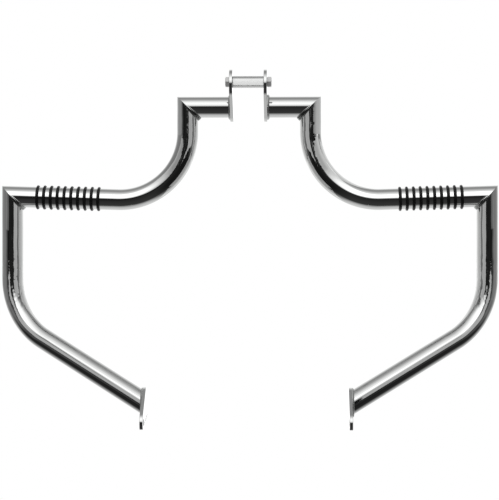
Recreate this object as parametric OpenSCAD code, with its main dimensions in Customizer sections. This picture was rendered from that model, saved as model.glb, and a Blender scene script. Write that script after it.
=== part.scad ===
// Motorcycle crash bars: one welded frame of round tube with a bolt-through
// bracket at the top, a grooved grip with rubber rings on each side, and a
// bolt tab at the foot of each leg.
// The origin is the middle of the upper bolt. X runs across the motorcycle,
// Y runs away from the tabs' free ends, and Z is up. Millimetres and degrees.

/* [Tube] */
// Outside diameter of the tube
tube_od = 31.75; // [28:0.25:36]
// Wall thickness of the tube
tube_wall = 3.05; // [2.4:0.05:4]

/* [Arms] */
// Distance from the middle plane to the upright part of each arm
upright_x = 92; // [84:1:110]
// Distance from the middle plane to each leg
leg_x = 356; // [340:1:400]
// Drop from the stub's axis to the outer corner
corner_drop = 133.7; // [126:0.5:180]
// Centre-line radius of the bend between the upright and the grip
arm_bend_r = 101.6; // [80:0.2:105]
// Angle at which the grip rises outward
grip_rise = 1.7; // [0:0.1:5]

/* [Legs] */
// Drop from the outer corner to the knee, where the leg's two axes cross
knee_drop = 184.5; // [150:0.5:240]
// Centre-line radius of the knee bend
leg_bend_r = 101.6; // [80:0.2:120]
// Angle of the lower leg below the horizontal
leg_slope = 28; // [20:0.5:40]
// Angle by which the lower leg turns forward, towards the tabs' free ends
leg_turn = 22; // [5:0.5:35]

/* [Plates] */
// Thickness of all four tab plates
plate_t = 4.8; // [3:0.1:8]

/* [Upper bracket] */
// Clear gap between the two upper tabs, filled by the spacer sleeve
bracket_gap = 46; // [36:0.5:60]
// Width of each upper tab
upper_tab_w = 44.4; // [42:0.2:52]
// Angle at which the upper tabs rise from the stubs towards the bolt
upper_tab_lean = 40; // [30:1:55]
// Distance from the stub's axis to the bolt's axis
bolt_reach = 53; // [46:0.5:65]
// Distance from the bolt's axis to the tip of the tab
bolt_edge = 17.2; // [14:0.2:21]

/* [Lower tabs] */
// Clear gap between the two lower tabs
lower_gap = 294; // [260:1:320]
// Radius of the tab where it carries the tube
lower_base_r = 22.2; // [22:0.1:25]
// Radius of the tab's free end
lower_nose_r = 15; // [12:0.1:18]
// Distance from the tube's end to the bolt hole
lower_reach = 52; // [48:0.5:70]
// Angle of the lower tab below the horizontal
lower_dip = 28; // [0:1:45]
// Distance from the bolt hole down to the tab's level lower edge
lower_foot = 9.4; // [8:0.1:12]
// Diameter of the bolt hole in the lower tab
lower_hole_d = 10.4; // [8.4:0.1:13]

/* [Bolt, nut and spacer] */
// Diameter of the bolt's shank
bolt_d = 9.5; // [8:0.1:10]
// Clearance between the bolt and what it passes through, in diameter
bolt_play = 0.9; // [0.4:0.1:1.5]
// Clearance between the bolt and the nut, in diameter
nut_play = 0.2; // [0.1:0.05:0.4]
// Width of the bolt's head and of the nut across the flats
hex_af = 14.3; // [13.5:0.1:17]
// Diameter of the flat end that the turned-down corners leave
hex_end_d = 13; // [11:0.1:13.4]
// Angle at which the corners are turned down
hex_chamfer = 30; // [15:1:45]
// Height of the bolt's head
head_h = 6; // [5:0.1:8]
// Height of the nut
nut_h = 6.6; // [6:0.1:9]
// Outside diameter of the spacer sleeve
spacer_od = 17.4; // [14:0.2:22]

/* [Grip rings] */
// Number of rings on each grip
ring_count = 10; // [1:1:10]
// Distance from one ring to the next
ring_pitch = 10.2; // [8:0.1:10.5]
// Distance from the outer corner to the first ring
ring_start = 38.5; // [32:0.5:50]
// Diameter of the ring's rubber section
ring_section = 4; // [3:0.1:5]
// Depth of the groove that seats a ring
groove_depth = 1.7; // [0.8:0.1:1.9]
// Side clearance of a ring in its groove
groove_play = 0.15; // [0.1:0.05:0.3]
// Gap between a ring and the floor of its groove
ring_seat_gap = 0.05; // [0.02:0.01:0.1]

/* [Welds] */
// Leg of the fillet weld round each tube's end
fillet_leg = 4.2; // [3:0.1:5]
// Width of the fillet weld's edge on the tube
fillet_toe = 0.7; // [0.5:0.1:1.2]
// Throat of the weld inside each mitred corner
corner_throat = 4; // [2:0.1:6]

/* [Hidden] */
$fn = 96;
over = 2;
tube_r = tube_od / 2;
bore_r = tube_r - tube_wall;
bend_swell = 0.02;

// The stubs' axis lies below and behind the bolt, at the foot of the upper tabs.
stub_z = -bolt_reach * sin(upper_tab_lean);
arm_y = bolt_reach * cos(upper_tab_lean);
upper_face_x = bracket_gap / 2 + plate_t;
upper_nose_r = upper_tab_w / 2;
upper_nose_reach = bolt_reach + bolt_edge - upper_nose_r;
bracket_w = bracket_gap + 2 * plate_t;
bolt_hole_d = bolt_d + bolt_play;

// The grip's axis rises outward through the outer corner.
corner_z = stub_z - corner_drop;
arm_bend_x = upright_x + arm_bend_r;
arm_bend_z = corner_z - (leg_x - arm_bend_x) * tan(grip_rise) + arm_bend_r / cos(grip_rise);
arm_bend_turn = 90 + grip_rise;
grip_length = (leg_x - arm_bend_x) / cos(grip_rise) - arm_bend_r * tan(grip_rise);

// The two mitre planes halve the angle between the tubes that they join.
inner_mitre = 45;
outer_mitre = 45 + grip_rise / 2;

// The lower leg runs from the knee to the outer face of its tab.
knee_z = corner_z - knee_drop;
knee_turn = 90 - leg_slope;
knee_tangent = leg_bend_r * tan(knee_turn / 2);
lower_face_x = lower_gap / 2 + plate_t;
lower_run = (leg_x - lower_face_x) / cos(leg_turn);
lower_length = lower_run / cos(leg_slope);
foot_y = arm_y - lower_run * sin(leg_turn);
foot_z = knee_z - lower_run * tan(leg_slope);

// Seats of the rings: the groove's floor carries the ring's inner side.
groove_r = tube_r - groove_depth;
ring_r = groove_r + ring_seat_gap + ring_section / 2;
groove_w = ring_section + 2 * groove_play;

// Each weld lies this far clear of the tubes that it joins.
weld_gap = 0.03;
weld_bore_r = tube_r + weld_gap;

// A weld in a mitred corner is part of a cylinder laid across the corner. It
// ends where the seam turns up the sides of the tubes, at this share of the
// tube's radius.
seam_reach = 0.82 * tube_r;
crotch = 1 / sin(45);

STEEL = "silver";
WELD = "gainsboro";
ZINC = "lightgray";
RUBBER = "black";

// Copies the right-hand shape to the left.
module left() {
  mirror([1, 0, 0]) children();
}

// Lays a flat outline, drawn in Y and Z, against the plane x, and thickens it
// towards the middle plane.
module plate(x, t) {
  translate([x - t, 0, 0]) rotate([90, 0, 90]) linear_extrude(t) children();
}

// Outline of a tab: a round base, a round nose at reach and the two straight
// edges that touch both.
module tab_outline(base_r, nose_r, reach) {
  edge = acos((base_r - nose_r) / reach);
  circle(base_r);
  translate([reach, 0]) circle(nose_r);
  polygon([
    base_r * [cos(edge), sin(edge)],
    base_r * [cos(edge), -sin(edge)],
    [reach, 0] + nose_r * [cos(edge), -sin(edge)],
    [reach, 0] + nose_r * [cos(edge), sin(edge)]
  ]);
}

// Cylinder along X from x1 to x2, at the height and depth of the children's frame.
module x_rod(x1, x2, r) {
  translate([x1, 0, 0]) rotate([0, 90, 0]) cylinder(r = r, h = x2 - x1);
}

// Block on one side of a mitre plane. The plane passes through the corner at
// [x, z] and stands at angle to X. Side 1 is above it and side -1 below.
module mitre_block(x, z, angle, side) {
  size = 6 * tube_od;
  translate([x, arm_y, z]) rotate([0, -angle, 0])
    translate([0, 0, side * size / 2]) cube(size, center = true);
}

// Solid round bar of radius r in the XY plane: a straight length along Y, a
// bend about the origin from the X axis on, and a second straight length. The
// bend is a hair thicker than the straights, so that its ends are true faces.
module bent_bar(r, bend_r, turn, first, second) {
  translate([bend_r, 0, 0]) rotate([90, 0, 0]) cylinder(r = r, h = first);
  rotate_extrude(angle = turn) translate([bend_r, 0]) circle(r + bend_swell);
  rotate([0, 0, turn]) translate([bend_r, 0, 0]) rotate([-90, 0, 0]) cylinder(r = r, h = second);
}

// Stands a bent bar up, so that its first length comes down and it bends
// towards X.
module stand_up() {
  rotate([-90, 0, 180]) children();
}

// Bar along the centre line of the arm, from above the inner corner to beyond
// the outer one.
module arm_bar(r, extra) {
  first = stub_z - arm_bend_z + tube_od + extra;
  second = grip_length + tube_od + extra;
  translate([arm_bend_x, arm_y, arm_bend_z]) stand_up()
    bent_bar(r, arm_bend_r, arm_bend_turn, first, second);
}

// Places its children with X along the grip and the origin at the outer corner.
module grip_frame() {
  translate([leg_x, arm_y, corner_z]) rotate([0, -grip_rise, 0]) children();
}

// Bar along the centre line of the leg, from above the outer corner to beyond
// the face of the lower tab.
module leg_bar(r, extra) {
  first = knee_drop - knee_tangent + tube_od + extra;
  second = lower_length - knee_tangent + tube_od + extra;
  translate([leg_x, arm_y, knee_z]) rotate([0, 0, 180 + leg_turn])
    translate([leg_bend_r, 0, knee_tangent]) stand_up()
      bent_bar(r, leg_bend_r, knee_turn, first, second);
}

// Places its children with the origin level with the foot of the leg's axis.
module foot_frame() {
  translate([0, foot_y, foot_z]) children();
}

module upper_tab_right() color(STEEL) {
  difference() {
    plate(upper_face_x, plate_t) translate([arm_y, stub_z]) rotate(180 - upper_tab_lean)
      tab_outline(upper_nose_r, upper_nose_r, upper_nose_reach);
    x_rod(bracket_gap / 2 - over, upper_face_x + over, bolt_hole_d / 2);
  }
}

module stub_right() color(STEEL) {
  difference() {
    translate([0, arm_y, stub_z]) x_rod(upper_face_x, upright_x + tube_od, tube_r);
    translate([0, arm_y, stub_z]) x_rod(upper_face_x - over, upright_x + tube_od + over, bore_r);
    mitre_block(upright_x, stub_z, inner_mitre, -1);
  }
}

module arm_right() color(STEEL) {
  difference() {
    arm_bar(tube_r, 0);
    arm_bar(bore_r, over);
    mitre_block(upright_x, stub_z, inner_mitre, 1);
    mitre_block(leg_x, corner_z, outer_mitre, -1);
    for (i = [1:ring_count]) groove(i);
  }
}

// Square groove that seats ring number i.
module groove(i) {
  middle = -ring_start - (i - 1) * ring_pitch;
  grip_frame() difference() {
    x_rod(middle - groove_w / 2, middle + groove_w / 2, tube_r + over);
    x_rod(middle - groove_w, middle + groove_w, groove_r);
  }
}

module leg_right() color(STEEL) {
  reach = lower_length + 2 * tube_od;
  difference() {
    leg_bar(tube_r, 0);
    leg_bar(bore_r, over);
    mitre_block(leg_x, corner_z, outer_mitre, 1);
    foot_frame() translate([lower_face_x - reach, -reach / 2, -reach / 2]) cube(reach);
  }
}

// The lower tab's free end is round in front and is cut off level below the hole.
module lower_tab_right() color(STEEL) {
  inner_x = lower_face_x - plate_t - over;
  hole_y = -lower_reach * cos(lower_dip);
  hole_z = -lower_reach * sin(lower_dip);
  cut = 2 * lower_reach;
  foot_frame() difference() {
    plate(lower_face_x, plate_t) rotate(180 + lower_dip)
      tab_outline(lower_base_r, lower_nose_r, lower_reach);
    translate([0, hole_y, hole_z]) x_rod(inner_x, lower_face_x + over, lower_hole_d / 2);
    translate([inner_x, hole_y - cut / 2, hole_z - lower_foot - cut])
      cube([plate_t + 2 * over, cut, cut]);
  }
}

// Fillet weld round the end of a tube that stands on the XY plane.
module fillet() {
  rotate_extrude() polygon([
    [weld_bore_r, 0], [tube_r + fillet_leg, 0],
    [tube_r + fillet_toe, fillet_leg], [weld_bore_r, fillet_leg]
  ]);
}

module stub_weld_right() color(WELD) {
  translate([upper_face_x, arm_y, stub_z]) rotate([0, 90, 0]) fillet();
}

// Weld inside a mitred corner at [x, z]. It is cut from a cylinder laid across
// the corner, so that it stands corner_throat proud of the seam in the middle
// and dies out at seam_reach to either side. Its ends lie within the tubes.
module corner_weld(x, z, angle) {
  middle = crotch * tube_r + corner_throat;
  side = crotch * sqrt(pow(tube_r, 2) - pow(seam_reach, 2));
  drop = middle - side;
  bead_r = (pow(seam_reach, 2) + pow(drop, 2)) / (2 * drop);
  translate([x, arm_y, z]) rotate([0, -angle, 0]) translate([bead_r - middle, 0, 0])
    cylinder(r = bead_r, h = 2 * (middle - bead_r), center = true);
}

module inner_corner_weld_right() color(WELD) {
  difference() {
    corner_weld(upright_x, stub_z, inner_mitre);
    translate([0, arm_y, stub_z]) x_rod(-tube_od, upright_x + 2 * tube_od, weld_bore_r);
    translate([upright_x, arm_y, stub_z - 4 * tube_od]) cylinder(r = weld_bore_r, h = 6 * tube_od);
  }
}

module outer_corner_weld_right() color(WELD) {
  difference() {
    corner_weld(leg_x, corner_z, outer_mitre);
    grip_frame() x_rod(-4 * tube_od, 2 * tube_od, weld_bore_r);
    translate([leg_x, arm_y, corner_z - 4 * tube_od]) cylinder(r = weld_bore_r, h = 6 * tube_od);
  }
}

// Fillet weld between a leg and its lower tab. The tube meets the tab at a
// slant, so the fillet leans along the tube and is stretched to its oval foot.
module foot_weld_right() color(WELD) {
  back = tan(leg_turn);
  rise = tan(leg_slope) / cos(leg_turn);
  lean = norm([back, rise]);
  stretch = norm([1, lean]);
  foot_frame() translate([lower_face_x, 0, 0]) rotate([90, 0, 90]) rotate(atan2(rise, back))
    multmatrix([[stretch, 0, lean, 0], [0, 1, 0, 0], [0, 0, 1, 0], [0, 0, 0, 1]]) fillet();
}

// Hexagon of a bolt's head or nut along X, from x1 to x2, with the corners of
// its outer end turned down. Outer is 1 where x2 is the outer end, else -1.
module hex_block(x1, x2, outer) {
  corner_r = hex_af / sqrt(3);
  height = x2 - x1;
  wide = corner_r + over;
  shoulder = height - (wide - hex_end_d / 2) * tan(hex_chamfer);
  translate([outer > 0 ? x1 : x2, 0, 0]) rotate([0, outer * 90, 0]) intersection() {
    cylinder(r = corner_r, h = height, $fn = 6);
    rotate_extrude()
      polygon([[0, 0], [wide, 0], [wide, shoulder], [hex_end_d / 2, height], [0, height]]);
  }
}

module bolt() color(ZINC) {
  hex_block(-bracket_w / 2 - head_h, -bracket_w / 2, -1);
  x_rod(-bracket_w / 2, bracket_w / 2 + nut_h, bolt_d / 2);
}

module nut() color(ZINC) {
  difference() {
    hex_block(bracket_w / 2, bracket_w / 2 + nut_h, 1);
    x_rod(bracket_w / 2 - over, bracket_w / 2 + nut_h + over, (bolt_d + nut_play) / 2);
  }
}

module spacer() color(ZINC) {
  difference() {
    x_rod(-bracket_gap / 2, bracket_gap / 2, spacer_od / 2);
    x_rod(-bracket_gap / 2 - over, bracket_gap / 2 + over, bolt_hole_d / 2);
  }
}

// Ring number i, counted inward from the outer corner.
module ring(i) color(RUBBER) {
  grip_frame() translate([-ring_start - (i - 1) * ring_pitch, 0, 0]) rotate([0, 90, 0])
    rotate_extrude() translate([ring_r, 0]) circle(ring_section / 2);
}

upper_tab_right();
left() upper_tab_right();  // upper_tab_left
stub_right();
left() stub_right();  // stub_left
arm_right();
left() arm_right();  // arm_left
leg_right();
left() leg_right();  // leg_left
lower_tab_right();
left() lower_tab_right();  // lower_tab_left
stub_weld_right();
left() stub_weld_right();  // stub_weld_left
inner_corner_weld_right();
left() inner_corner_weld_right();  // inner_corner_weld_left
outer_corner_weld_right();
left() outer_corner_weld_right();  // outer_corner_weld_left
foot_weld_right();
left() foot_weld_right();  // foot_weld_left
bolt();
nut();
spacer();
for (i = [1:ring_count]) {
  ring(i);
  left() ring(i);
}
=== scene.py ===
# Motorcycle crash bars: one chromed frame of bent and welded steel tube, with a
# bolt-through bracket at the top and rubber rings on both grips. In metres, from
# the middle of the upper bolt: X across the motorcycle, Y away from the camera, Z up.
import math

import bmesh
import bpy
from mathutils import Matrix, Vector


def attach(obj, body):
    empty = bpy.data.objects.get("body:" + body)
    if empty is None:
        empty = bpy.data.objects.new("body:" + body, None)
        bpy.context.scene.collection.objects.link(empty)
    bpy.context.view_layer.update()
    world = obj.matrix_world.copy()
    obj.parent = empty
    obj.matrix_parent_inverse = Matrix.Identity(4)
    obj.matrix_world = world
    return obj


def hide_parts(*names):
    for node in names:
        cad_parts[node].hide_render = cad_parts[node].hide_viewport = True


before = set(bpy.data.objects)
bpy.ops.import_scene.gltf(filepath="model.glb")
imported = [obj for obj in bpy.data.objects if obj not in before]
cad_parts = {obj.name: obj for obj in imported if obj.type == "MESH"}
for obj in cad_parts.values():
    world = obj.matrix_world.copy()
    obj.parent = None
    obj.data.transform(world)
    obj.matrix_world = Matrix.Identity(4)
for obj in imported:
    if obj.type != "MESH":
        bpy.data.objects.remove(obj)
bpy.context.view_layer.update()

# The camera. A long lens in front of the bars, level with their middle and a
# little to the right of it.
camera_place = (0.077, -2.560, -0.235)
camera_turn_left = math.radians(1.68)
camera_tilt_up = math.radians(-0.29)
camera_lens = 124.86

camera_data = bpy.data.cameras.new("camera")
camera_data.lens = camera_lens
camera = bpy.data.objects.new("camera", camera_data)
camera.matrix_world = (
    Matrix.Translation(camera_place)
    @ Matrix.Rotation(camera_turn_left, 4, "Z")
    @ Matrix.Rotation(math.radians(90) + camera_tilt_up, 4, "X")
)
bpy.context.scene.collection.objects.link(camera)
bpy.context.scene.camera = camera

# The studio. A pale floor well below the bars, a white wall behind them, a
# softbox high in front, and a dark room behind the camera. The chrome mirrors
# a brightness that is set for each direction.
floor_height = -1.0
floor_size = 5.0
floor_grey = 0.86
floor_dullness = 0.9
wall_white = 1.0
softbox_glow = 2.0

# Each list goes from straight in front (0 degrees) to straight behind (180),
# by way of the ceiling, the floor or a side wall: angle and brightness.
over_the_top = [
    (0, 0.03), (4, 0.05), (8, 0.45), (14, 1.1), (22, 1.45), (34, 1.7), (48, 1.6), (60, 1.28),
    (74, 0.86), (89, 0.52), (106, 0.38), (120, 0.45), (132, 0.85), (150, 1.1), (180, 1.4),
]
round_the_side = [
    (0, 0.014), (23, 0.02), (40, 0.01), (50, 0.04), (58, 0.13), (74, 0.27), (89, 0.3),
    (106, 0.31), (128, 0.5), (150, 0.9), (180, 1.4),
]
low_to_the_side = [
    (0, 0.02), (40, 0.012), (90, 0.026), (104, 0.2), (112, 0.4), (128, 0.65), (150, 1.0), (180, 1.4),
]
under_the_bars = [
    (0, 0.03), (62, 0.05), (72, 0.07), (84, 0.45), (100, 0.8), (116, 0.92), (150, 1.0), (180, 1.4),
]
# Each list gives way to the next between two angles from straight up.
side_wall_lean = (23, 58)
low_wall_lean = (96, 114)
underside_lean = (138, 164)

# White cards stand round the bars, each lit for one side's pieces alone. A card is:
# name, turn inward from straight in front, height angle, width and height (all in
# degrees), brightness, what it lights, and its sides, right being 1 and left -1.
card_middle = Vector((0, 0, -0.24))
card_distance = 3.0
cards = [
    ("front_card", 35, 10, 42, 30, 0.55, "arms and legs", (1, -1)),
    ("back_card", 117, 14, 80, 60, 0.38, "arms and legs", (1, -1)),
    ("low_card", 105, -36, 70, 40, 0.45, "arms", (1, -1)),
    ("outer_card", -48, 34, 84, 46, 0.56, "arms", (1,)),
    ("outer_card", -36, 34, 60, 46, 0.42, "arms", (-1,)),
    ("side_card", -80, -3, 92, 27, 0.38, "arms", (1,)),
    ("side_card", -96, -3, 60, 27, 0.1, "arms", (-1,)),
    ("rear_card", -122, 36, 44, 44, 0.5, "arms", (1,)),
    ("knee_card", -22, 27, 34, 26, 0.45, "legs", (1, -1)),
    ("tab_inner_card", 48, -14, 56, 64, 0.42, "tabs", (1, -1)),
    ("tab_outer_card", -48, -14, 56, 64, 0.42, "tabs", (1, -1)),
]
lit_groups = ("arms", "legs", "arms and legs", "tabs")


def add_node(tree, kind, inputs, **settings):
    """A new node in tree, with inputs linked to sockets or set to values."""
    node = tree.nodes.new(kind)
    for name, value in settings.items():
        setattr(node, name, value)
    for name, value in inputs.items():
        if isinstance(value, bpy.types.NodeSocket):
            tree.links.new(value, node.inputs[name])
        else:
            node.inputs[name].default_value = value
    return node


def grey_ramp(tree, place, stops):
    """Ramp of greys over place, which runs from 0 to 1. A stop is a place and a grey."""
    node = add_node(tree, "ShaderNodeValToRGB", {"Fac": place})
    node.color_ramp.interpolation = "EASE"
    points = node.color_ramp.elements
    while len(points) < len(stops):
        points.new(1.0)
    for point, (position, grey) in zip(points, stops):
        point.position = position
        point.color = (grey, grey, grey, 1)
    return node.outputs["Color"]


def blend_colours(tree, share, first, second):
    """Colour between first and second, at share of the way."""
    node = add_node(tree, "ShaderNodeMix", {0: share, 6: first, 7: second}, data_type="RGBA")
    return node.outputs[2]


def light_the_room():
    """The brightness that the chrome mirrors in each direction. The camera sees white."""
    world = bpy.data.worlds.new("studio")
    world.use_nodes = True
    tree = world.node_tree
    tree.nodes.clear()
    look = add_node(tree, "ShaderNodeTexCoord", {})
    split = add_node(tree, "ShaderNodeSeparateXYZ", {"Vector": look.outputs["Generated"]})
    ahead = add_node(tree, "ShaderNodeMath", {0: split.outputs["Y"], 1: -1.0}, operation="MULTIPLY")
    angle = add_node(tree, "ShaderNodeMath", {0: ahead.outputs[0]}, operation="ARCCOSINE")
    turn = add_node(tree, "ShaderNodeMath", {0: angle.outputs[0], 1: math.pi}, operation="DIVIDE")
    walls = [
        grey_ramp(tree, turn.outputs[0], [(degrees / 180, glow / softbox_glow) for degrees, glow in stops])
        for stops in (over_the_top, round_the_side, low_to_the_side, under_the_bars)
    ]
    aside = add_node(tree, "ShaderNodeMath", {0: split.outputs["X"]}, operation="ABSOLUTE")
    lean = add_node(
        tree, "ShaderNodeMath", {0: aside.outputs[0], 1: split.outputs["Z"]}, operation="ARCTAN2",
    )
    whole = walls[0]
    for wall, (start, end) in zip(walls[1:], (side_wall_lean, low_wall_lean, underside_lean)):
        share = add_node(
            tree, "ShaderNodeMapRange",
            {"Value": lean.outputs[0], "From Min": math.radians(start), "From Max": math.radians(end)},
            interpolation_type="SMOOTHSTEP",
        )
        whole = blend_colours(tree, share.outputs["Result"], whole, wall)
    room = add_node(tree, "ShaderNodeBackground", {"Color": whole, "Strength": softbox_glow})
    behind = add_node(tree, "ShaderNodeBackground", {"Strength": wall_white})
    behind.inputs["Color"].default_value = (1, 1, 1, 1)
    ray = add_node(tree, "ShaderNodeLightPath", {})
    seen = add_node(
        tree, "ShaderNodeMixShader",
        {0: ray.outputs["Is Camera Ray"], 1: room.outputs[0], 2: behind.outputs[0]},
    )
    add_node(tree, "ShaderNodeOutputWorld", {"Surface": seen.outputs[0]})
    return world


def lay_floor():
    """A pale sheet under the bars, which the chrome doesn't mirror."""
    bm = bmesh.new()
    bmesh.ops.create_grid(
        bm, x_segments=1, y_segments=1, size=floor_size / 2,
        matrix=Matrix.Translation((0, 0, floor_height)),
    )
    mesh = bpy.data.meshes.new("studio_floor")
    bm.to_mesh(mesh)
    bm.free()
    paint = bpy.data.materials.new("pale_floor_paint")
    paint.use_nodes = True
    shader = paint.node_tree.nodes["Principled BSDF"]
    shader.inputs["Base Color"].default_value = (floor_grey, floor_grey, floor_grey, 1)
    shader.inputs["Roughness"].default_value = floor_dullness
    mesh.materials.append(paint)
    floor = bpy.data.objects.new("studio_floor", mesh)
    bpy.context.scene.collection.objects.link(floor)
    floor.visible_glossy = False


def hang_card(name, place, aim, size, glow, lit):
    """Card of size (across, up), turned to aim. Only what is in lit is lit by it."""
    card = bpy.data.lights.new(name, "AREA")
    card.shape = "RECTANGLE"
    card.size, card.size_y = size
    card.energy = glow * math.pi * size[0] * size[1]
    stand = bpy.data.objects.new(name, card)
    stand.matrix_world = Matrix.Translation(place) @ aim
    stand.visible_camera = False
    stand.light_linking.receiver_collection = lit
    bpy.context.scene.collection.objects.link(stand)


def hang_cards(lit, side):
    """The cards for one side's pieces: side is 1 for the right and -1 for the left."""
    for name, turn, rise, width, height, glow, pieces, sides in cards:
        if side not in sides:
            continue
        turn = math.radians(turn)
        rise = math.radians(rise)
        way = Vector((
            -side * math.sin(turn) * math.cos(rise),
            -math.cos(turn) * math.cos(rise),
            math.sin(rise),
        ))
        aim = way.to_track_quat("Z", "Y").to_matrix().to_4x4()
        size = [2 * card_distance * math.tan(math.radians(angle / 2)) for angle in (width, height)]
        hang_card(f"{name}_{side}", card_middle + way * card_distance, aim, size, glow, lit[pieces])


bpy.context.scene.world = light_the_room()
bpy.context.scene.view_settings.view_transform = "Standard"
lay_floor()
lit_pieces = {
    side: {pieces: bpy.data.collections.new(f"{pieces}_{side}") for pieces in lit_groups}
    for side in (1, -1)
}
for side, lit in lit_pieces.items():
    hang_cards(lit, side)

# The stub tubes. Two short lengths of 1 1/4 inch steel tube, square at the
# tab, mitred at 45 degrees where the arm hangs from them. Polished and chromed.
tube_radius = 0.031750 / 2
bore_radius = tube_radius - 0.00305
tube_sides = 96
rim_break = 0.0003
sharp_from = math.radians(40)
same_plane = 0.000001
bracket_gap = 0.046
plate_thickness = 0.0048
bolt_reach = 0.053
upper_tab_lean = math.radians(40)
upright_x = 0.092

upper_face_x = bracket_gap / 2 + plate_thickness
stub_height = -bolt_reach * math.sin(upper_tab_lean)
tube_depth = bolt_reach * math.cos(upper_tab_lean)
inner_corner = Vector((upright_x, tube_depth, stub_height))
inner_mitre = Vector((-1, 0, 1)).normalized()

chrome_grey = (0.615, 0.62, 0.615)
chrome_shade = (0.575, 0.58, 0.575)
chrome_roughness = (0.03, 0.075)
chrome_haze = (0.35, 0.7)
tube_wave = 0.00006
hand_wave = 0.0009
bend_wrinkle = 0.0004
polish_grain = 0.0000015
drawn_out_upward = (1, 1, 0.7)
above_the_bars = (1.0, 2.0)

haze_clouds_per_metre = 22
tube_waves_per_metre = 30
hand_waves_per_metre = 45
wrinkles_per_metre = 165
grains_per_metre = 2500


def polished_chrome(name, waved, wrinkled, wrinkle_share=1.0):
    """Bright chrome over polished tube: soft waves, faint polishing marks and a little haze.
    The waves of hand polishing start at waved's first height and are full at its second.
    Between wrinkled's two heights the bender's marks show through as small dents."""
    material = bpy.data.materials.new(name)
    material.use_nodes = True
    tree = material.node_tree
    shader = tree.nodes["Principled BSDF"]
    shader.inputs["Metallic"].default_value = 1.0
    place = add_node(tree, "ShaderNodeTexCoord", {}).outputs["Object"]
    haze = add_node(
        tree, "ShaderNodeTexNoise", {"Vector": place, "Scale": haze_clouds_per_metre, "Detail": 3},
    )
    tint = blend_colours(tree, haze.outputs["Fac"], chrome_grey + (1,), chrome_shade + (1,))
    tree.links.new(tint, shader.inputs["Base Color"])
    rough = add_node(
        tree, "ShaderNodeMapRange",
        {"Value": haze.outputs["Fac"], "From Min": chrome_haze[0], "From Max": chrome_haze[1],
         "To Min": chrome_roughness[0], "To Max": chrome_roughness[1]},
    )
    tree.links.new(rough.outputs["Result"], shader.inputs["Roughness"])
    waves = add_node(
        tree, "ShaderNodeTexNoise", {"Vector": place, "Scale": tube_waves_per_metre, "Detail": 1},
    )
    swell = add_node(tree, "ShaderNodeBump", {"Height": waves.outputs["Fac"], "Distance": tube_wave})

    drawn_out = add_node(
        tree, "ShaderNodeMapping", {"Vector": place, "Scale": drawn_out_upward},
    ).outputs["Vector"]
    height = add_node(tree, "ShaderNodeSeparateXYZ", {"Vector": place}).outputs["Z"]
    ripples = add_node(
        tree, "ShaderNodeTexNoise", {"Vector": drawn_out, "Scale": hand_waves_per_metre, "Detail": 0.6},
    )
    by_hand = add_node(
        tree, "ShaderNodeMapRange", {"Value": height, "From Min": waved[0], "From Max": waved[1]},
    )
    dents = add_node(
        tree, "ShaderNodeBump",
        {"Height": ripples.outputs["Fac"], "Distance": hand_wave, "Strength": by_hand.outputs["Result"],
         "Normal": swell.outputs["Normal"]},
    )

    reach = (wrinkled[1] - wrinkled[0]) / 2
    middle = (wrinkled[0] + wrinkled[1]) / 2
    away = add_node(tree, "ShaderNodeMath", {0: height, 1: middle}, operation="SUBTRACT")
    apart = add_node(tree, "ShaderNodeMath", {0: away.outputs[0]}, operation="ABSOLUTE")
    bent = add_node(
        tree, "ShaderNodeMapRange",
        {"Value": apart.outputs[0], "From Min": reach, "From Max": reach / 3,
         "To Min": 0.0, "To Max": wrinkle_share},
        interpolation_type="SMOOTHSTEP",
    )
    folds = add_node(
        tree, "ShaderNodeTexNoise", {"Vector": drawn_out, "Scale": wrinkles_per_metre, "Detail": 1.3},
    )
    wrinkles = add_node(
        tree, "ShaderNodeBump",
        {"Height": folds.outputs["Fac"], "Distance": bend_wrinkle, "Strength": bent.outputs["Result"],
         "Normal": dents.outputs["Normal"]},
    )

    grain = add_node(tree, "ShaderNodeTexNoise", {"Vector": place, "Scale": grains_per_metre, "Detail": 2})
    marks = add_node(
        tree, "ShaderNodeBump",
        {"Height": grain.outputs["Fac"], "Distance": polish_grain, "Normal": wrinkles.outputs["Normal"]},
    )
    tree.links.new(marks.outputs["Normal"], shader.inputs["Normal"])
    return material


def start_tube(bm, centre, along, radius):
    """Open ring of edges round centre, square to along."""
    turn = along.to_track_quat("Z", "Y").to_matrix().to_4x4()
    made = bmesh.ops.create_circle(
        bm, segments=tube_sides, radius=radius, matrix=Matrix.Translation(centre) @ turn,
    )
    return list({edge for vert in made["verts"] for edge in vert.link_edges})


def run_straight(bm, ring, step):
    """Draws the ring out by step and returns the new ring."""
    made = bmesh.ops.extrude_edge_only(bm, edges=ring)["geom"]
    bmesh.ops.translate(bm, vec=step, verts=[g for g in made if isinstance(g, bmesh.types.BMVert)])
    return [g for g in made if isinstance(g, bmesh.types.BMEdge)]


def run_bend(bm, ring, centre, axis, angle, steps):
    """Bends the tube on from the ring, round the axis through centre."""
    corners = list({vert for edge in ring for vert in edge.verts})
    made = bmesh.ops.spin(
        bm, geom=corners + ring, cent=centre, axis=axis, angle=angle, steps=steps, use_duplicate=False,
    )["geom_last"]
    return [g for g in made if isinstance(g, bmesh.types.BMEdge)]


def saw_off(bm, point, normal):
    """Cuts the mesh along a plane and takes away what is on the normal's side."""
    bmesh.ops.bisect_plane(
        bm, geom=bm.verts[:] + bm.edges[:] + bm.faces[:], dist=same_plane,
        plane_co=point, plane_no=normal, clear_outer=True,
    )


def close_end(bm, point, normal):
    """Joins the outside of the tube to its bore at a sawn end."""
    rim = [
        edge for edge in bm.edges
        if edge.is_boundary and all(abs((vert.co - point).dot(normal)) < same_plane for vert in edge.verts)
    ]
    bmesh.ops.bridge_loops(bm, edges=rim)


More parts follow.
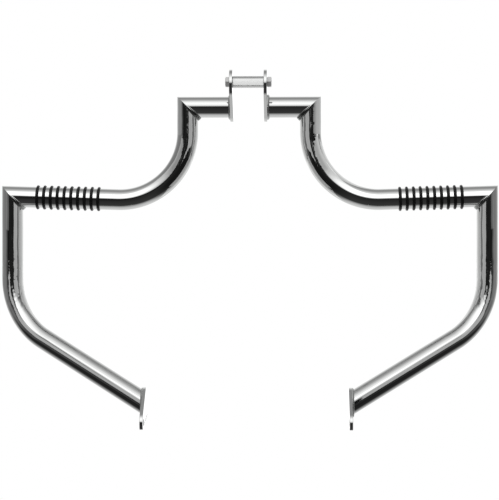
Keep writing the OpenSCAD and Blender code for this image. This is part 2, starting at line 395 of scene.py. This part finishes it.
def break_rims(bm, width, least=math.radians(35), segments=2):
    """Rounds the sharp edges off by width."""
    bmesh.ops.recalc_face_normals(bm, faces=bm.faces)
    rims = [edge for edge in bm.edges if edge.calc_face_angle(0) > least]
    bmesh.ops.bevel(
        bm, geom=rims, offset=width, affect="EDGES", segments=segments, profile=0.5, material=-1,
    )


def set_down(bm, name, material, nodes):
    """Makes the mesh a piece of the frame, in place of its CAD nodes."""
    bmesh.ops.recalc_face_normals(bm, faces=bm.faces)
    mesh = bpy.data.meshes.new(name)
    bm.to_mesh(mesh)
    mesh.shade_smooth()
    mesh.set_sharp_from_angle(angle=sharp_from)
    mesh.materials.append(material)
    piece = bpy.data.objects.new(name, mesh)
    bpy.context.scene.collection.objects.link(piece)
    shading = piece.modifiers.new("even_shading", "WEIGHTED_NORMAL")
    shading.keep_sharp = True
    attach(piece, "root")
    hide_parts(*nodes)
    return piece


def set_down_both(bm, name, material, node, lit_as=()):
    """The right-hand piece, and its mirror image on the left. The cards for lit_as light both."""
    for hand, side in (("_right", 1), ("_left", -1)):
        piece = set_down(bm, name + hand, material, [node + hand])
        for pieces in lit_as:
            lit_pieces[side][pieces].objects.link(piece)
        bmesh.ops.scale(bm, vec=(-1, 1, 1), verts=bm.verts)
    bm.free()


chrome = polished_chrome("polished_chrome", above_the_bars, above_the_bars)


def cut_stub():
    """The right-hand stub tube, square at the tab and mitred at the corner."""
    bm = bmesh.new()
    start = Vector((upper_face_x, tube_depth, stub_height))
    for radius in (tube_radius, bore_radius):
        ring = start_tube(bm, start, Vector((1, 0, 0)), radius)
        run_straight(bm, ring, Vector((upright_x + 2 * tube_radius - upper_face_x, 0, 0)))
    saw_off(bm, inner_corner, -inner_mitre)
    close_end(bm, start, Vector((1, 0, 0)))
    close_end(bm, inner_corner, inner_mitre)
    break_rims(bm, rim_break)
    return bm


set_down_both(cut_stub(), "stub_tube", chrome, "stub")

# The arms. One bent tube on each side: an upright mitred to the stub, a wide
# bend, and the grip, which rises a little outward and has ten turned grooves.
corner_drop = 0.1337
leg_x = 0.356
grip_rise = math.radians(1.7)
arm_bend_radius = 0.1016
arm_bend_steps = 64
ring_count = 10
ring_pitch = 0.0102
first_ring = 0.0385
ring_section = 0.004
groove_depth = 0.0017
groove_play = 0.00015
groove_lip = 0.00025
arm_waved = (-0.150, -0.110)
arm_wrinkled = (-0.150, -0.020)
arm_wrinkle_share = 0.42

outer_corner = Vector((leg_x, tube_depth, stub_height - corner_drop))
grip = Vector((math.cos(grip_rise), 0, math.sin(grip_rise)))
arm_bend_centre = Vector((
    upright_x + arm_bend_radius,
    tube_depth,
    outer_corner.z - (leg_x - upright_x - arm_bend_radius) * math.tan(grip_rise)
    + arm_bend_radius / math.cos(grip_rise),
))
grip_length = (outer_corner - arm_bend_centre).dot(grip)
outer_mitre_angle = math.radians(45) + grip_rise / 2
outer_mitre = Vector((-math.sin(outer_mitre_angle), 0, math.cos(outer_mitre_angle)))
groove_width = ring_section + 2 * groove_play
groove_radius = tube_radius - groove_depth


def ring_middle(ring):
    """The point on the axis at the middle of a ring of edges."""
    corners = {vert for edge in ring for vert in edge.verts}
    return sum((vert.co for vert in corners), Vector()) / len(corners)


def turn_down(bm, ring, step, old_radius, new_radius):
    """Draws the ring out by step and turns it to a new radius."""
    ring = run_straight(bm, ring, step)
    bmesh.ops.scale(
        bm, vec=(new_radius / old_radius,) * 3, space=Matrix.Translation(-ring_middle(ring)),
        verts=list({vert for edge in ring for vert in edge.verts}),
    )
    return ring


def turn_grooves(bm, ring):
    """The row of grooves, from the innermost to the outermost."""
    row_length = first_ring + (ring_count - 1) * ring_pitch
    lip_radius = tube_radius - groove_lip
    ring = run_straight(bm, ring, grip * (grip_length - row_length - groove_width / 2 - groove_lip))
    for number in range(ring_count):
        ring = turn_down(bm, ring, grip * groove_lip, tube_radius, lip_radius)
        ring = turn_down(bm, ring, Vector(), lip_radius, groove_radius)
        ring = run_straight(bm, ring, grip * groove_width)
        ring = turn_down(bm, ring, Vector(), groove_radius, lip_radius)
        ring = turn_down(bm, ring, grip * groove_lip, lip_radius, tube_radius)
        if number < ring_count - 1:
            ring = run_straight(bm, ring, grip * (ring_pitch - groove_width - 2 * groove_lip))
    return run_straight(bm, ring, grip * (first_ring + 2 * tube_radius))


def bend_arm():
    """The right-hand arm, drawn downward from above its mitre and out along the grip."""
    bm = bmesh.new()
    top = inner_corner + Vector((0, 0, 2 * tube_radius))
    for radius in (tube_radius, bore_radius):
        ring = start_tube(bm, top, Vector((0, 0, -1)), radius)
        ring = run_straight(bm, ring, Vector((0, 0, arm_bend_centre.z - top.z)))
        ring = run_bend(
            bm, ring, arm_bend_centre, Vector((0, -1, 0)), math.radians(90) + grip_rise, arm_bend_steps,
        )
        if radius == tube_radius:
            turn_grooves(bm, ring)
        else:
            run_straight(bm, ring, grip * (grip_length + 2 * tube_radius))
    saw_off(bm, inner_corner, inner_mitre)
    saw_off(bm, outer_corner, -outer_mitre)
    close_end(bm, inner_corner, inner_mitre)
    close_end(bm, outer_corner, outer_mitre)
    return bm


arm_chrome = polished_chrome("arm_chrome", arm_waved, arm_wrinkled, arm_wrinkle_share)
set_down_both(bend_arm(), "arm_tube", arm_chrome, "arm", lit_as=("arms", "arms and legs"))

# The legs. One bent tube on each side: it hangs from the mitred outer corner,
# bends at the knee, and runs in and forward to the outer face of its tab.
knee_drop = 0.1845
knee_radius = 0.1016
knee_steps = 48
leg_slope = math.radians(28)
leg_turn = math.radians(22)
lower_gap = 0.294
leg_waved = (-0.400, -0.350)
leg_wrinkled = (-0.352, -0.236)

lower_face_x = lower_gap / 2 + plate_thickness
knee_turn = math.radians(90) - leg_slope
knee_tangent = knee_radius * math.tan(knee_turn / 2)
knee = outer_corner - Vector((0, 0, knee_drop))
inward = Vector((-math.cos(leg_turn), -math.sin(leg_turn), 0))
leg_line = inward * math.cos(leg_slope) - Vector((0, 0, math.sin(leg_slope)))
foot = knee + leg_line * ((knee.x - lower_face_x) / -leg_line.x)


def bend_leg():
    """The right-hand leg, drawn downward from above its mitre and in to the tab's face."""
    bm = bmesh.new()
    top = outer_corner + Vector((0, 0, 2 * tube_radius))
    bend_start = knee + Vector((0, 0, knee_tangent))
    for radius in (tube_radius, bore_radius):
        ring = start_tube(bm, top, Vector((0, 0, -1)), radius)
        ring = run_straight(bm, ring, bend_start - top)
        ring = run_bend(
            bm, ring, bend_start + inward * knee_radius, Vector((0, 0, 1)).cross(inward), -knee_turn,
            knee_steps,
        )
        run_straight(bm, ring, leg_line * ((foot - knee).length - knee_tangent + 2 * tube_radius))
    saw_off(bm, outer_corner, outer_mitre)
    saw_off(bm, foot, Vector((-1, 0, 0)))
    close_end(bm, outer_corner, outer_mitre)
    close_end(bm, foot, Vector((1, 0, 0)))
    break_rims(bm, rim_break)
    return bm


leg_chrome = polished_chrome("leg_chrome", leg_waved, leg_wrinkled)
set_down_both(bend_leg(), "leg_tube", leg_chrome, "leg", lit_as=("legs", "arms and legs"))

# Two small cards hang close to each leg: a strip along its lower run, and one
# in front of the shoulder of the tube, below the outer corner.
strip_card_place = Vector((0.4115, -0.190, -0.370))
strip_card_size = (0.24, 0.105)
strip_card_glow = 0.6
shoulder_card_turn = math.radians(50)
shoulder_card_height = -0.168
shoulder_card_distance = 0.3
shoulder_card_size = (0.17, 0.085)
shoulder_card_glow = 0.15


def on_side(point, side):
    """The point on the right, or its mirror image on the left."""
    return Vector((side * point.x, point.y, point.z))


def hang_leg_cards(lit, side):
    """The two cards near one leg: side is 1 for the right and -1 for the left."""
    place = on_side(strip_card_place, side)
    toward = (place - on_side((knee + foot) / 2, side)).normalized()
    along = on_side(leg_line, side)
    along = (along - toward * along.dot(toward)).normalized()
    aim = Matrix((along, toward.cross(along), toward)).transposed().to_4x4()
    hang_card(f"strip_card_{side}", place, aim, strip_card_size, strip_card_glow, lit["legs"])
    way = Vector((side * math.sin(shoulder_card_turn), -math.cos(shoulder_card_turn), 0))
    place = Vector((side * leg_x, tube_depth, shoulder_card_height)) + way * shoulder_card_distance
    aim = way.to_track_quat("Z", "Y").to_matrix().to_4x4()
    hang_card(f"shoulder_card_{side}", place, aim, shoulder_card_size, shoulder_card_glow, lit["legs"])


for side, lit in lit_pieces.items():
    hang_leg_cards(lit, side)

# The tabs. Plates cut from 4.8 mm steel with round ends and one bolt hole, the
# edges dressed, then welded across the tube ends and chromed with the frame.
upper_tab_radius = 0.0222
upper_hole = 0.0104 / 2
bolt_edge = 0.0172
lower_base_radius = 0.0222
lower_nose_radius = 0.015
lower_reach = 0.052
lower_dip = math.radians(28)
lower_foot = 0.0094
lower_hole = 0.0104 / 2
tab_edge_break = 0.0005
tab_edge_least = math.radians(60)
arc_steps = 40
hole_sides = 64
least_taper = 0.000001
same_point = 0.0000001


def dress_plate(face_x, base, toward, reach, radii, hole, hole_radius, foot_height=None):
    """Plate with a round base, a round nose at reach, and a bolt hole. face_x is not used: the plate's
    face lies at base's x.
    Where foot_height is given, the plate is cut off level there."""
    bm = bmesh.new()
    across = Vector((1, 0, 0))
    tilt = math.acos((radii[0] - radii[1]) / reach)
    nose = base + toward * reach
    arcs = [(base, radii[0], tilt, 2 * (math.pi - tilt)), (nose, radii[1], -tilt, 2 * tilt)]
    ends = []
    for middle, radius, first, sweep in arcs:
        spoke = Matrix.Rotation(first, 3, across) @ toward * radius
        corner = bmesh.ops.create_vert(bm, co=middle + spoke)["vert"][0]
        last = bmesh.ops.spin(
            bm, geom=[corner], cent=middle, axis=across, angle=sweep, steps=arc_steps, use_duplicate=False,
        )["geom_last"]
        ends += [corner, [g for g in last if isinstance(g, bmesh.types.BMVert)][0]]
    bm.edges.new((ends[1], ends[2]))
    bm.edges.new((ends[3], ends[0]))
    if foot_height is not None:
        made = bmesh.ops.bisect_plane(
            bm, geom=bm.verts[:] + bm.edges[:], dist=same_point,
            plane_co=(0, 0, foot_height), plane_no=(0, 0, -1), clear_outer=True,
        )["geom_cut"]
        bm.edges.new([g for g in made if isinstance(g, bmesh.types.BMVert)])
    outline = bm.edges[:]
    made = bmesh.ops.create_circle(
        bm, segments=hole_sides, radius=hole_radius,
        matrix=Matrix.Translation(hole) @ Matrix.Rotation(math.radians(90), 4, "Y"),
    )
    rim = list({edge for vert in made["verts"] for edge in vert.link_edges})
    face = bmesh.ops.bridge_loops(bm, edges=outline + rim)["faces"]
    made = bmesh.ops.extrude_face_region(bm, geom=face, use_keep_orig=True)["geom"]
    bmesh.ops.translate(
        bm, vec=(-plate_thickness, 0, 0), verts=[g for g in made if isinstance(g, bmesh.types.BMVert)],
    )
    break_rims(bm, tab_edge_break, least=tab_edge_least, segments=3)
    return bm


def lean(angle):
    """Direction forward, towards the camera, and up by an angle."""
    return Vector((0, -math.cos(angle), math.sin(angle)))


set_down_both(
    dress_plate(
        upper_face_x, Vector((upper_face_x, tube_depth, stub_height)), lean(upper_tab_lean),
        bolt_reach + bolt_edge - upper_tab_radius, (upper_tab_radius, upper_tab_radius - least_taper),
        Vector((upper_face_x, 0, 0)), upper_hole,
    ),
    "upper_tab_plate", chrome, "upper_tab", lit_as=("tabs",),
)
lower_bolt = foot + lean(-lower_dip) * lower_reach
set_down_both(
    dress_plate(
        lower_face_x, foot, lean(-lower_dip), lower_reach, (lower_base_radius, lower_nose_radius),
        lower_bolt, lower_hole, lower_bolt.z - lower_foot,
    ),
    "lower_tab_plate", chrome, "lower_tab", lit_as=("tabs",),
)

# The welds. Hand-laid beads of overlapping ripples: round the tube ends at the
# tabs, and inside each mitred corner. They are chromed with the frame.
bead_sides = 20
ripple_pitch = 0.0020
ripple_steps = 6
ripple_depth = 0.09
end_bead = 0.0031
corner_bead = 0.0037
corner_bead_side = 0.0012
corner_bead_flat = 1.9
corner_bead_fullness = 1.5
corner_weld_degrees = 92
path_samples = 200
path_step = 0.001

weld_grey = (0.56, 0.57, 0.56)
weld_shade = 0.8
weld_roughness = (0.06, 0.24)
weld_skin = 0.00004
weld_spots_per_metre = 400


def plated_weld():
    """Chrome over a weld that was brushed but not ground: duller, with a fine skin."""
    material = bpy.data.materials.new("plated_weld")
    material.use_nodes = True
    tree = material.node_tree
    shader = tree.nodes["Principled BSDF"]
    shader.inputs["Metallic"].default_value = 1.0
    place = add_node(tree, "ShaderNodeTexCoord", {}).outputs["Object"]
    spots = add_node(
        tree, "ShaderNodeTexNoise", {"Vector": place, "Scale": weld_spots_per_metre, "Detail": 4},
    )
    tint = blend_colours(
        tree, spots.outputs["Fac"], weld_grey + (1,), tuple(weld_shade * c for c in weld_grey) + (1,),
    )
    tree.links.new(tint, shader.inputs["Base Color"])
    rough = add_node(
        tree, "ShaderNodeMapRange",
        {"Value": spots.outputs["Fac"], "To Min": weld_roughness[0], "To Max": weld_roughness[1]},
    )
    tree.links.new(rough.outputs["Result"], shader.inputs["Roughness"])
    skin = add_node(tree, "ShaderNodeBump", {"Height": spots.outputs["Fac"], "Distance": weld_skin})
    tree.links.new(skin.outputs["Normal"], shader.inputs["Normal"])
    return material


def ripple(distance):
    """Share of the bead's radius at a distance along it: a rounded top and a sharp valley."""
    return 1 - ripple_depth * (1 - abs(math.sin(math.pi * distance / ripple_pitch)))


def lay_bead(bm, path, radius_at, across, flat, closed):
    """Lays a rippled bead. Path turns a share from 0 to 1 into a point. The
    bead is wider than it is high, by the factor flat, in the direction across."""
    length = sum(
        (path((sample + 1) / path_samples) - path(sample / path_samples)).length
        for sample in range(path_samples)
    )
    ripples = round(length / ripple_pitch)
    count = ripples * ripple_steps
    first = last = None
    for step in range(count if closed else count + 1):
        share = step / count
        along = (path(share + path_step) - path(share - path_step)).normalized()
        radius = radius_at(share) * ripple(share * ripples * ripple_pitch)
        wide = (across - along * across.dot(along)).normalized()
        turn = Matrix((wide * flat, along.cross(wide), along)).transposed().to_4x4()
        made = bmesh.ops.create_circle(
            bm, segments=bead_sides, radius=radius, matrix=Matrix.Translation(path(share)) @ turn,
        )
        ring = list({edge for vert in made["verts"] for edge in vert.link_edges})
        if last:
            bmesh.ops.bridge_loops(bm, edges=last + ring)
        first, last = first or ring, ring
    if closed:
        bmesh.ops.bridge_loops(bm, edges=last + first)
    else:
        bmesh.ops.holes_fill(bm, edges=[edge for edge in bm.edges if edge.is_boundary])


def corner_path(corner, mitre):
    """Seam on the inside of a mitred corner, from its front round the crotch to its back."""
    crotch = Vector((-mitre.z, 0, mitre.x)) / math.sin(math.radians(45))

    def point(share):
        turn = math.radians(2 * corner_weld_degrees * share - corner_weld_degrees)
        return corner + (crotch * math.cos(turn) + Vector((0, 1, 0)) * math.sin(turn)) * tube_radius
    return point


def corner_radius(share):
    """The bead is fullest in the crotch and thin where it ends on the tubes' sides."""
    full = max(0.0, math.sin(math.pi * share)) ** corner_bead_fullness
    return corner_bead_side + (corner_bead - corner_bead_side) * full


def end_path(centre, line):
    """Round the end of a tube along line, where it meets a tab's face at centre."""
    side = line.cross(Vector((0, 0, 1))).normalized()
    other = line.cross(side).normalized()

    def point(share):
        spoke = (side * math.cos(math.tau * share) + other * math.sin(math.tau * share)) * tube_radius
        return centre + spoke - line * (spoke.x / line.x)
    return point


weld = plated_weld()
for name, corner, mitre, lit_as in (
    ("inner_corner_weld", inner_corner, inner_mitre, ()),
    ("outer_corner_weld", outer_corner, outer_mitre, ("arms",)),
):
    bead = bmesh.new()
    lay_bead(bead, corner_path(corner, mitre), corner_radius, mitre, corner_bead_flat, closed=False)
    set_down_both(bead, name + "_bead", weld, name, lit_as)
for name, centre, line in (
    ("stub_weld", Vector((upper_face_x, tube_depth, stub_height)), Vector((1, 0, 0))),
    ("foot_weld", foot, -leg_line),
):
    bead = bmesh.new()
    lay_bead(bead, end_path(centre, line), lambda share: end_bead, line, 1.0, closed=True)
    set_down_both(bead, name + "_bead", weld, name)

# The spacer, bolt and nut. A turned sleeve between the upper tabs, and a 3/8
# inch bolt through it with its head on the left. Bright zinc over steel.
spacer_radius = 0.0174 / 2
spacer_bore = 0.0104 / 2
spacer_chamfer = 0.0005
hex_flats = 0.0143
head_height = 0.006
nut_height = 0.0066
shank_radius = 0.0095 / 2
thread_bore = 0.0097 / 2
hex_end = 0.013 / 2
hex_chamfer = math.radians(30)
washer_face = 0.94 * hex_flats / 2
washer_height = 0.0004
shank_chamfer = 0.0008
turned_sides = 96
shank_sides = 64

sleeve_light = (0.58, 0.585, 0.58)
sleeve_dull = (0.54, 0.545, 0.54)
bolt_light = (0.58, 0.58, 0.57)
bolt_dull = (0.46, 0.46, 0.46)
sleeve_roughness = 0.27
bolt_roughness = 0.30
roughness_spread = 0.03
zinc_mark = 0.0000004
zinc_clouds_per_metre = 90
lathe_rings_per_metre = 3500


def zinc_plate(name, light, dull, roughness):
    """Zinc plate on turned steel: satin, with fine rings from the lathe and faint clouding."""
    material = bpy.data.materials.new(name)
    material.use_nodes = True
    tree = material.node_tree
    shader = tree.nodes["Principled BSDF"]
    shader.inputs["Metallic"].default_value = 1.0
    place = add_node(tree, "ShaderNodeTexCoord", {}).outputs["Object"]
    clouds = add_node(
        tree, "ShaderNodeTexNoise", {"Vector": place, "Scale": zinc_clouds_per_metre, "Detail": 2},
    )
    tint = blend_colours(tree, clouds.outputs["Fac"], light + (1,), dull + (1,))
    tree.links.new(tint, shader.inputs["Base Color"])
    rough = add_node(
        tree, "ShaderNodeMapRange",
        {"Value": clouds.outputs["Fac"], "To Min": roughness - roughness_spread,
         "To Max": roughness + roughness_spread},
    )
    tree.links.new(rough.outputs["Result"], shader.inputs["Roughness"])
    turned = add_node(
        tree, "ShaderNodeMapping",
        {"Vector": place, "Scale": (lathe_rings_per_metre, zinc_clouds_per_metre, zinc_clouds_per_metre)},
    )
    lathe = add_node(tree, "ShaderNodeTexNoise", {"Vector": turned.outputs[0], "Scale": 1, "Detail": 2})
    marks = add_node(tree, "ShaderNodeBump", {"Height": lathe.outputs["Fac"], "Distance": zinc_mark})
    tree.links.new(marks.outputs["Normal"], shader.inputs["Normal"])
    return material


def turn_profile(bm, profile, sides):
    """Spins a closed or open line of (x, radius) points round the X axis."""
    corners = [bmesh.ops.create_vert(bm, co=(x, 0, radius))["vert"][0] for x, radius in profile]
    edges = [bm.edges.new(pair) for pair in zip(corners, corners[1:])]
    bmesh.ops.spin(
        bm, geom=corners + edges, cent=(0, 0, 0), axis=(1, 0, 0), angle=math.tau, steps=sides,
        use_merge=True, use_duplicate=False,
    )
    bmesh.ops.remove_doubles(bm, verts=bm.verts, dist=same_point)


def file_flats(bm):
    """Cuts the six flats of a hexagon round the X axis, two of them level."""
    for side in range(6):
        out = Matrix.Rotation(math.radians(60 * side), 3, "X") @ Vector((0, 0, 1))
        made = bmesh.ops.bisect_plane(
            bm, geom=bm.verts[:] + bm.edges[:] + bm.faces[:], dist=same_point,
            plane_co=out * hex_flats / 2, plane_no=out, clear_outer=True,
        )["geom_cut"]
        edges = [g for g in made if isinstance(g, bmesh.types.BMEdge)]
        bmesh.ops.edgeloop_fill(bm, edges=edges)


def hexagon(inner_x, outer_x, bore):
    """Hexagon head or nut from inner_x to outer_x, with a washer face and turned-down outer corners."""
    bm = bmesh.new()
    out = 1 if outer_x > inner_x else -1
    corner = hex_flats / math.sqrt(3)
    chamfer = (corner - hex_end) * math.tan(hex_chamfer)
    turn_profile(bm, [
        (inner_x, bore), (inner_x, washer_face), (inner_x + out * washer_height, washer_face),
        (inner_x + out * washer_height, corner), (outer_x - out * chamfer, corner),
        (outer_x, hex_end), (outer_x, bore),
    ], turned_sides)
    file_flats(bm)
    return bm


sleeve_zinc = zinc_plate("sleeve_zinc", sleeve_light, sleeve_dull, sleeve_roughness)
bolt_zinc = zinc_plate("bolt_zinc", bolt_light, bolt_dull, bolt_roughness)

turned_sleeve = bmesh.new()
sleeve_end = bracket_gap / 2
turn_profile(turned_sleeve, [
    (-sleeve_end, spacer_bore), (-sleeve_end, spacer_radius - spacer_chamfer),
    (-sleeve_end + spacer_chamfer, spacer_radius), (sleeve_end - spacer_chamfer, spacer_radius),
    (sleeve_end, spacer_radius - spacer_chamfer), (sleeve_end, spacer_bore),
    (-sleeve_end, spacer_bore),
], turned_sides)
spacer = set_down(turned_sleeve, "spacer_sleeve", sleeve_zinc, ["spacer"])

turned_bolt = hexagon(-upper_face_x, -upper_face_x - head_height, 0)
shank_end = upper_face_x + nut_height
turn_profile(turned_bolt, [
    (-upper_face_x, 0), (-upper_face_x, shank_radius), (shank_end - shank_chamfer, shank_radius),
    (shank_end, shank_radius - shank_chamfer), (shank_end, 0),
], shank_sides)
bolt = set_down(turned_bolt, "bracket_bolt", bolt_zinc, ["bolt"])

turned_nut = hexagon(upper_face_x, upper_face_x + nut_height, thread_bore)
nut = set_down(turned_nut, "bracket_nut", bolt_zinc, ["nut"])

# A large card low in front of the bars lights the sleeve, and another in the
# same place lights the bolt and the nut, more faintly.
bracket_card_place = Vector((0.0, -1.75, -1.01))
bracket_card_size = (3.4, 3.6)
sleeve_card_glow = 1.35
bolt_card_glow = 0.33

for name, pieces, glow in (
    ("sleeve_card", [spacer], sleeve_card_glow),
    ("bolt_card", [bolt, nut], bolt_card_glow),
):
    lit = bpy.data.collections.new(name)
    for piece in pieces:
        lit.objects.link(piece)
    aim = bracket_card_place.to_track_quat("Z", "Y").to_matrix().to_4x4()
    hang_card(name, bracket_card_place, aim, bracket_card_size, glow, lit)

# The grip rings. Twenty black rubber O-rings, rolled along the grips and
# dropped into the turned grooves.
ring_seat_gap = 0.00005
ring_sides = 72
ring_section_sides = 20

rubber_black = (0.003, 0.003, 0.003)
rubber_bloom = (0.008, 0.008, 0.008)
rubber_shine = 0.3
rubber_roughness = (0.3, 0.5)
rubber_grain = 0.00001
bloom_spots_per_metre = 260
rubber_grains_per_metre = 3200


def black_rubber():
    """Moulded rubber: black, half dull, with a faint grey bloom and a fine grain."""
    material = bpy.data.materials.new("black_rubber")
    material.use_nodes = True
    tree = material.node_tree
    shader = tree.nodes["Principled BSDF"]
    shader.inputs["Specular IOR Level"].default_value = rubber_shine
    place = add_node(tree, "ShaderNodeTexCoord", {}).outputs["Object"]
    bloom = add_node(
        tree, "ShaderNodeTexNoise", {"Vector": place, "Scale": bloom_spots_per_metre, "Detail": 5},
    )
    tint = blend_colours(tree, bloom.outputs["Fac"], rubber_black + (1,), rubber_bloom + (1,))
    tree.links.new(tint, shader.inputs["Base Color"])
    rough = add_node(
        tree, "ShaderNodeMapRange",
        {"Value": bloom.outputs["Fac"], "To Min": rubber_roughness[0], "To Max": rubber_roughness[1]},
    )
    tree.links.new(rough.outputs["Result"], shader.inputs["Roughness"])
    grain = add_node(
        tree, "ShaderNodeTexNoise", {"Vector": place, "Scale": rubber_grains_per_metre, "Detail": 2},
    )
    skin = add_node(tree, "ShaderNodeBump", {"Height": grain.outputs["Fac"], "Distance": rubber_grain})
    tree.links.new(skin.outputs["Normal"], shader.inputs["Normal"])
    return material


def roll_ring(number):
    """Ring round the grip, counted inward from the outer corner."""
    bm = bmesh.new()
    middle = outer_corner - grip * (first_ring + number * ring_pitch)
    reach = groove_radius + ring_seat_gap + ring_section / 2
    made = bmesh.ops.create_circle(
        bm, segments=ring_section_sides, radius=ring_section / 2,
        matrix=Matrix.Translation(middle + Vector((0, reach, 0))) @ Matrix.Rotation(-grip_rise, 4, "Y"),
    )
    edges = list({edge for vert in made["verts"] for edge in vert.link_edges})
    bmesh.ops.spin(
        bm, geom=made["verts"] + edges, cent=middle, axis=grip, angle=math.tau, steps=ring_sides,
        use_merge=True, use_duplicate=False,
    )
    return bm


rubber = black_rubber()
for number in range(ring_count):
    name = f"grip_ring_{number + 1}"
    bm = roll_ring(number)
    set_down(bm, name + "_right", rubber, [f"ring_right_{number + 1}"])
    bmesh.ops.scale(bm, vec=(-1, 1, 1), verts=bm.verts)
    set_down(bm, name + "_left", rubber, [f"ring_left_{number + 1}"])
    bm.free()
